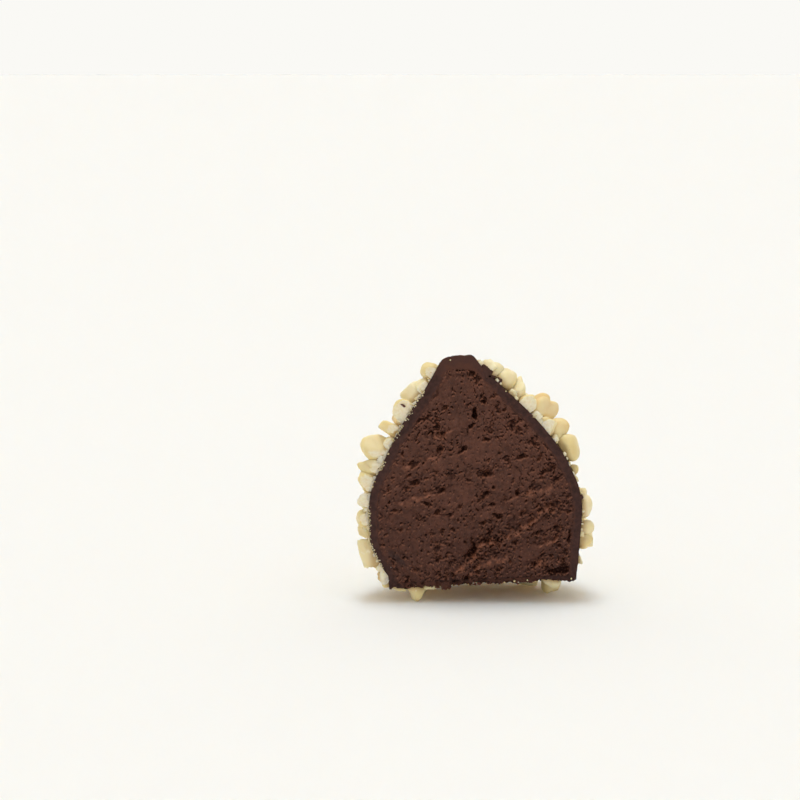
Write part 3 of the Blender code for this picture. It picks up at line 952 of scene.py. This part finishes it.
# Crumbs that the knife tore off: place across, behind the cut and up, and length. The largest
# dark ones hold the rim's topmost nut.
DARK_CRUMBS = (
    (2.5, 0.7, 30.2, 1.1), (3.3, 0.8, 29.5, 2.1), (3.9, 0.6, 28.9, 1.7),
    (4.7, 0.5, 28.1, 1.2), (14.2, 0.5, 12.3, 1.0), (14.1, 0.6, 11.3, 0.8),
)
GANACHE_CRUMBS = (
    (-8.7, 0.3, 24.9, 0.8), (-5.6, 0.3, -0.2, 1.2), (-4.9, 0.3, -0.4, 0.7),
    (-6.6, 0.3, -0.2, 0.8), (-11.0, 0.3, 0.0, 0.7), (-9.0, 0.3, -0.1, 0.6),
    (-0.5, 0.2, -0.1, 0.6), (2.4, 0.2, -0.1, 0.5), (5.1, 0.2, -0.1, 0.7),
    (7.0, 0.3, -0.1, 0.6), (12.4, 0.2, 0.0, 0.7), (13.3, 0.2, 0.2, 0.6),
)
FOOT_CRUMBS = 70  # more of them, at random along the foot


def torn_crumbs(name, rows, rng, look, slot, node):
    heap = bmesh.new()
    for x, y, z, length in rows:
        fine = 4 if length > 0.95 else 3 if length > 0.55 else 1
        ball = bmesh.ops.create_icosphere(heap, subdivisions=fine, radius=0.5)["verts"]
        directions = np.array([vertex.co.normalized() for vertex in ball])
        made, _ = chopped(directions, rng, slab)
        made *= 1 + 0.25 * lumps(directions, 0.5, 3, seed=rng.uniform(0, 90))[:, None]
        size = Vector([length * rng.uniform(0.7, 1.1) for _ in range(3)]) * MM
        tilt = np.array(Matrix.Rotation(rng.uniform(0, 3), 3, random_direction(rng)))
        points = stretched(made @ tilt.T, size) + spot_at(x, y, z)
        points[:, 1] = np.maximum(points[:, 1], OFFSET[1] - 0.05 * MM)
        for vertex, point in zip(ball, points):
            vertex.co = point
    mesh = mesh_from(heap, name)
    for attribute in ("cut", "peak"):
        paint(mesh, attribute, np.full(len(mesh.vertices), 0.8))
    return add_piece(name, mesh, look, node)


def foot_crumbs(rng):
    ranges = ((-11.5, 13.2), (0, 0.8), (-0.15, 0.1), (0.2, 0.45))
    return [[rng.uniform(*ends) for ends in ranges] for _ in range(FOOT_CRUMBS)]


# ---------- materials ----------


def adds(operation, swapped=False):
    """A method that joins a value and another number or value with a Math node."""

    def joined(self, other):
        pair = (other, self) if swapped else (self, other)
        return self.shader.math(operation, *pair)

    return joined


class Socket:
    """A value in a material's node tree. Sums of values add the Math nodes for them."""

    def __init__(self, shader, socket):
        self.shader = shader
        self.socket = socket

    __add__, __radd__ = adds("ADD"), adds("ADD", swapped=True)
    __sub__, __rsub__ = adds("SUBTRACT"), adds("SUBTRACT", swapped=True)
    __mul__, __rmul__ = adds("MULTIPLY"), adds("MULTIPLY", swapped=True)


class Shader:
    """The nodes of a material or of the world, and the one at their end."""

    def __init__(self, tree, surface):
        self.tree = tree
        self.surface = surface

    def make(self, kind, settings=None, output=0, **inputs):
        """Adds a node. Spaces in socket names are written as underscores."""
        node = self.tree.nodes.new(kind)
        for name, value in (settings or {}).items():
            if name == "stops":
                self.set_stops(node.color_ramp.elements, value)
            else:
                setattr(node, name, value)
        for name, value in inputs.items():
            self.feed(self.find(node.inputs, name), value)
        return Socket(self, node.outputs[output])

    def find(self, sockets, name):
        if name[1:].isdigit():
            return sockets[int(name[1:])]
        return next(s for s in sockets if s.enabled and s.name.replace(" ", "_") == name)

    def feed(self, socket, value):
        if isinstance(value, Socket):
            self.tree.links.new(value.socket, socket)
        else:
            socket.default_value = value

    def set_stops(self, elements, stops):
        while len(elements) < len(stops):
            elements.new(1.0)
        for element, (position, colour) in zip(elements, stops):
            element.position = position
            element.color = colour

    def math(self, operation, a, b):
        return self.make("ShaderNodeMath", {"operation": operation}, _0=a, _1=b)

    def set(self, **values):
        for name, value in values.items():
            self.feed(self.find(self.surface.inputs, name), value)

    def attribute(self, name):
        return self.make("ShaderNodeAttribute", {"attribute_name": name}, output="Fac")

    def noise(self, size, detail, roughness=0.5):
        inputs = {"Scale": 1 / size, "Detail": detail, "Roughness": roughness}
        place = self.make("ShaderNodeTexCoord", output="Object")
        return self.make("ShaderNodeTexNoise", output="Fac", Vector=place, **inputs)

    def ramp(self, factor, *stops):
        return self.make("ShaderNodeValToRGB", {"stops": stops}, output="Color", Fac=factor)

    def remap(self, value, low, high, to_low=0.0, to_high=1.0):
        limits = {"From_Min": low, "From_Max": high, "To_Min": to_low, "To_Max": to_high}
        return self.make("ShaderNodeMapRange", {"clamp": True}, "Result", Value=value, **limits)

    def mix(self, factor, a, b):
        return self.make("ShaderNodeMix", {"data_type": "RGBA"}, "Result", Factor=factor, A=a, B=b)

    def bump(self, height, distance, strength):
        inputs = {"Height": height, "Distance": distance, "Strength": strength}
        return self.make("ShaderNodeBump", output="Normal", **inputs)

    def along(self, vector, direction):
        settings = {"operation": "DOT_PRODUCT"}
        return self.make("ShaderNodeVectorMath", settings, "Value", _0=vector, _1=direction)


def rgb(red, green, blue):
    """A colour given as it looks on a screen, 0 to 255, as the linear one that shaders take."""
    shares = (red / 255, green / 255, blue / 255)
    linear = [c / 12.92 if c <= 0.04045 else ((c + 0.055) / 1.055) ** 2.4 for c in shares]
    return (*linear, 1.0)


def new_material(name):
    """(material, shader) with a Principled surface."""
    material = bpy.data.materials.new(name)
    material.use_nodes = True
    tree = material.node_tree
    return material, Shader(tree, tree.nodes["Principled BSDF"])


# Colours as they look on a screen
GANACHE_DARK = rgb(87, 51, 38)
GANACHE_LIGHT = rgb(99, 60, 46)
GANACHE_ROUGH = rgb(77, 43, 32)
# colour of the painted highlight on crests and lips that catch the light
GANACHE_CREST_HIGHLIGHT = rgb(152, 93, 66)
# dark brown of the painted shade in pits and hollows, also used for random dark blotches
GANACHE_SHADE_AND_BLOTCH = rgb(34, 13, 8)
SHELL_CUT = rgb(50, 28, 24)
SHELL_CUT_LIGHT = rgb(74, 46, 40)
SHELL_PEAK = rgb(82, 50, 41)
SKIN_DARK = rgb(37, 21, 14)
SKIN_LIGHT = rgb(51, 31, 22)
NUT_PALE = rgb(242, 229, 190)
NUT_CREAM = rgb(236, 218, 164)
NUT_GOLDEN = rgb(226, 201, 134)
NUT_BROWNED = rgb(222, 172, 100)
NUT_CHOPPED = rgb(244, 234, 202)
NUT_STUCK = rgb(184, 146, 92)
NUT_CUT = rgb(240, 226, 194)
NUT_CUT_PALE = rgb(249, 241, 220)
ROOM_WHITE = rgb(250, 249, 245)


def ganache_material():
    material, shader = new_material("ganache")
    mottle = shader.noise(2.5 * MM, 3.0)
    base = shader.ramp(mottle, (0.35, GANACHE_DARK), (0.65, GANACHE_LIGHT))
    base = shader.mix(shader.attribute("rough") * 0.8, base, GANACHE_ROUGH)
    blotch = shader.remap(shader.noise(0.7 * MM, 3.0), 0.35, 0.6, 0.35, 0.0)
    base = shader.mix(blotch, base, GANACHE_SHADE_AND_BLOTCH)
    # painted highlight on the crests and lower lips
    colour = shader.mix(shader.attribute("crest") * 0.75, base, GANACHE_CREST_HIGHLIGHT)
    # painted shade in the pits, hollows and on rims turned away from the light
    colour = shader.mix(shader.attribute("pit"), colour, GANACHE_SHADE_AND_BLOTCH)
    # painted shade in the fine pores that the bump dents
    pores = shader.remap(shader.noise(0.17 * MM, 1.0), 0.42, 0.30)
    colour = shader.mix(pores * 0.35, colour, GANACHE_SHADE_AND_BLOTCH)
    colour = shader.mix(shader.attribute("beside_shell") * 0.75, colour, SHELL_CUT)
    grain = shader.noise(0.16 * MM, 3.0) - pores * 0.4
    fuzz = shader.remap(shader.noise(0.35 * MM, 4.0, 0.6), 0.35, 0.65)
    sheen = 0.2 + 0.2 * fuzz + 0.4 * shader.attribute("crest")
    shader.set(
        Base_Color=colour,
        Roughness=shader.remap(mottle, 0.3, 0.7, 0.5, 0.64),
        Normal=shader.bump(grain, 0.03 * MM, 0.6),
        Specular_IOR_Level=0.06,
        Coat_Weight=sheen * (1.0 - shader.attribute("pit")),
        Coat_Roughness=0.45,
    )
    return material


def chocolate_material():
    material, shader = new_material("dark_chocolate")
    cut = shader.attribute("cut")
    streak = shader.noise(1.2 * MM, 3.0)
    speckle = shader.noise(0.6 * MM, 5.0, 0.65)
    cut_colour = shader.ramp(speckle, (0.35, SHELL_CUT), (0.65, SHELL_CUT_LIGHT))
    peak = shader.attribute("peak")
    cut_colour = shader.mix(peak * 0.7, cut_colour, SHELL_PEAK)
    inward = shader.attribute("inward") + shader.noise(0.7 * MM, 3.0) * 0.9 + peak * 0.25
    cut_colour = shader.mix(shader.remap(inward, 1.2, 1.5) * 0.8, cut_colour, GANACHE_DARK)
    # painted shade in the pits of the torn foot
    cut_colour = shader.mix(shader.attribute("pit"), cut_colour, GANACHE_SHADE_AND_BLOTCH)
    skin_colour = shader.ramp(streak, (0.35, SKIN_DARK), (0.65, SKIN_LIGHT))
    shader.set(
        Base_Color=shader.mix(cut, skin_colour, cut_colour),
        Roughness=0.27 + 0.4 * cut,
        Normal=shader.bump(shader.noise(0.3 * MM, 2.0), 0.02 * MM, 0.5),
        Specular_IOR_Level=0.22,
    )
    return material


def nut_material():
    material, shader = new_material("chopped_nuts")
    toast = shader.attribute("toast")
    patch = shader.noise(1.8 * MM, 2.0)
    tone = shader.attribute("tone") * 0.55 + patch * 0.45
    colour = shader.ramp(tone, (0.15, NUT_PALE), (0.5, NUT_CREAM), (0.85, NUT_GOLDEN))
    browned = shader.remap(patch + toast * 0.5, 0.55, 0.95) * toast
    colour = shader.mix(browned * 0.7, colour, NUT_BROWNED)
    colour = shader.mix(shader.attribute("bare") * 0.35, colour, NUT_CHOPPED)
    colour = shader.mix(shader.attribute("stuck") * 0.75, colour, NUT_STUCK)
    fine = shader.noise(0.3 * MM, 3.0)
    chalk = shader.ramp(fine, (0.35, NUT_CUT), (0.6, NUT_CUT_PALE))
    colour = shader.mix(shader.attribute("knifed") * 0.75, colour, chalk)
    shader.set(
        Base_Color=colour,
        Roughness=shader.remap(patch, 0.3, 0.7, 0.4, 0.58),
        Subsurface_Weight=0.4,
        Subsurface_Radius=(1.0, 0.8, 0.45),
        Subsurface_Scale=1.0 * MM,
        Normal=shader.bump(fine, 0.035 * MM, 0.6),
        Specular_IOR_Level=0.35,
    )
    return material


# ---------- stage, light and camera ----------

VIEW_RISE = math.radians(9)
VIEW_DISTANCE = 296.3 * MM
LENS = 100.0  # millimetres, on a 36 mm sensor
FLOOR_COLOUR = (0.86, 0.853, 0.825, 1.0)
ROOM = 0.7  # how bright the room is, as a share of its horizon
ROOM_FRONT = 0.62
OVERHEAD = 1.5
OVERHEAD_SPREAD = math.radians(22)
OVERHEAD_WAY = (0.05, -0.04, -1.0)
AIM_LEFT = 10.12 * MM  # the camera aims this far left of the truffle's axis
AIM_HEIGHT = 27.8 * MM
FLOOR_SIZE = 6.0  # metres each way


def stage_floor():
    shape = bmesh.new()
    bmesh.ops.create_grid(shape, x_segments=1, y_segments=1, size=FLOOR_SIZE)
    floor = new_object("floor", mesh_from(shape, "floor"))
    material, shader = new_material("white_board")
    shader.surface.subsurface_method = "BURLEY"
    shader.set(
        Base_Color=FLOOR_COLOUR,
        Roughness=0.5,
        Specular_IOR_Level=0.0,
        Subsurface_Weight=0.8,
        Subsurface_Radius=(1.0, 0.62, 0.32),
        Subsurface_Scale=14.0 * MM,
    )
    floor.data.materials.append(material)


def overhead_lamp():
    sun = bpy.data.lights.new("overhead", "SUN")
    sun.energy = OVERHEAD
    sun.angle = OVERHEAD_SPREAD
    lamp = new_object("overhead", sun)
    lamp.rotation_euler = Vector(OVERHEAD_WAY).to_track_quat("-Z", "Y").to_euler()


def studio_light():
    """A white room: bright over and behind the truffle, dimmer on the side it is seen from."""
    world = bpy.data.worlds.new("studio")
    world.use_nodes = True
    shader = Shader(world.node_tree, world.node_tree.nodes["Background"])
    way = shader.make("ShaderNodeTexCoord", output="Generated")
    front = shader.remap(shader.along(way, (0, 1, 0)), -0.9, 0.2, ROOM_FRONT, ROOM)
    high = shader.remap(shader.along(way, (0, 0, 1)), 0.03, 0.2)
    shader.set(Color=shader.mix(1.0 - high * (1.0 - front), rgb(0, 0, 0), ROOM_WHITE))
    bpy.context.scene.world = world
    bpy.context.scene.view_settings.view_transform = "Standard"


def aim_camera():
    """Square to the cut face and a little above it, with the truffle low and right of the middle."""
    target = Vector((OFFSET[0] - AIM_LEFT, OFFSET[1], AIM_HEIGHT))
    camera = new_object("camera", bpy.data.cameras.new("camera"))
    camera.data.lens = LENS
    camera.data.clip_start = 0.01
    away = Vector((0, -math.cos(VIEW_RISE), math.sin(VIEW_RISE)))
    camera.location = target + VIEW_DISTANCE * away
    camera.rotation_euler = (-away).to_track_quat("-Z", "Y").to_euler()
    bpy.context.scene.camera = camera


whole_nuts = nut_pieces()
between = small_nuts(whole_nuts, random.Random(8))
nut_look, chocolate_look, ganache_look = nut_material(), chocolate_material(), ganache_material()
ganache(ganache_look)
shell(whole_nuts + between, chocolate_look)
middle = len(whole_nuts) // 2
nut_heap("chopped_nuts", whole_nuts[:middle], random.Random(21), nut_look, NUT_FINENESS)
nut_heap("more_chopped_nuts", whole_nuts[middle:], random.Random(22), nut_look, NUT_FINENESS)
nut_heap("small_nut_pieces", between, random.Random(23), nut_look, NUT_FINENESS - 1)
chocolate = (chocolate_look, "dark_chocolate", "chocolate_shell")
torn_crumbs("dark_crumbs", DARK_CRUMBS, random.Random(26), *chocolate)
foot_rows = [*GANACHE_CRUMBS, *foot_crumbs(random.Random(28))]
torn_crumbs("ganache_crumbs", foot_rows, random.Random(27), ganache_look, "ganache", "ganache")
nut_heap("nut_crumbs", crumb_places(random.Random(24)), random.Random(25), nut_look, 1)
stage_floor()
studio_light()
overhead_lamp()
aim_camera()
